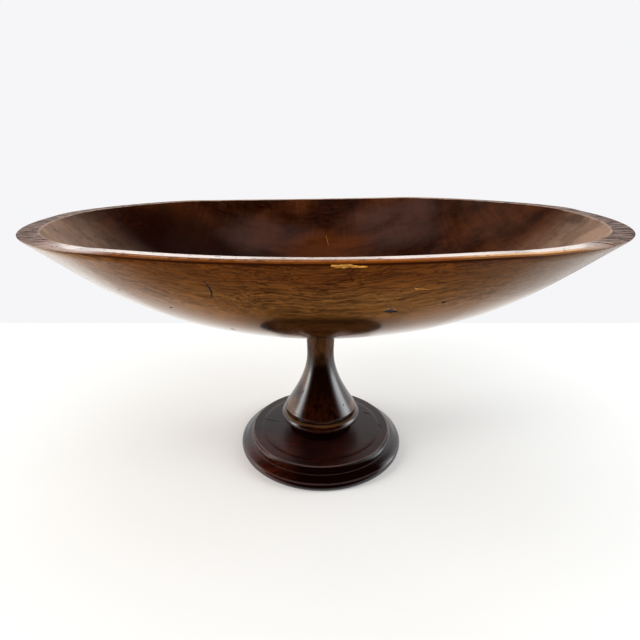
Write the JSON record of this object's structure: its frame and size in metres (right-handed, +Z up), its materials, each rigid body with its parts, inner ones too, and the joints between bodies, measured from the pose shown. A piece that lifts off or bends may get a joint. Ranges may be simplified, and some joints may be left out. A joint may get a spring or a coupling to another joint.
{
  "type": "wooden pedestal bowl",
  "caption": "Wide shallow turned wooden bowl on a trumpet-shaped stem with a half-round ring and a moulded round foot, for fruit or display.",
  "frame": {"origin": "on the turning axis, on the plane that the foot's ring stands on", "axes": "+Z up along the turning axis, +X along the grain of the bowl, -Y towards the front of the picture"},
  "size_m": [0.38, 0.38, 0.1974],
  "materials": {
    "bowl_wood": "aged brown hardwood, waxed to a soft gloss, with long grain, knots and worn edges",
    "stem_wood": "dark brown turned hardwood, glossy wax, rubbed lighter on the edges",
    "foot_wood": "very dark red-brown hardwood, glossy wax, with a drying crack across the grain"
  },
  "bodies": {
    "root": {"bowl": "bowl_wood", "stem": "stem_wood", "foot": "foot_wood"}
  },
  "joints": []
}
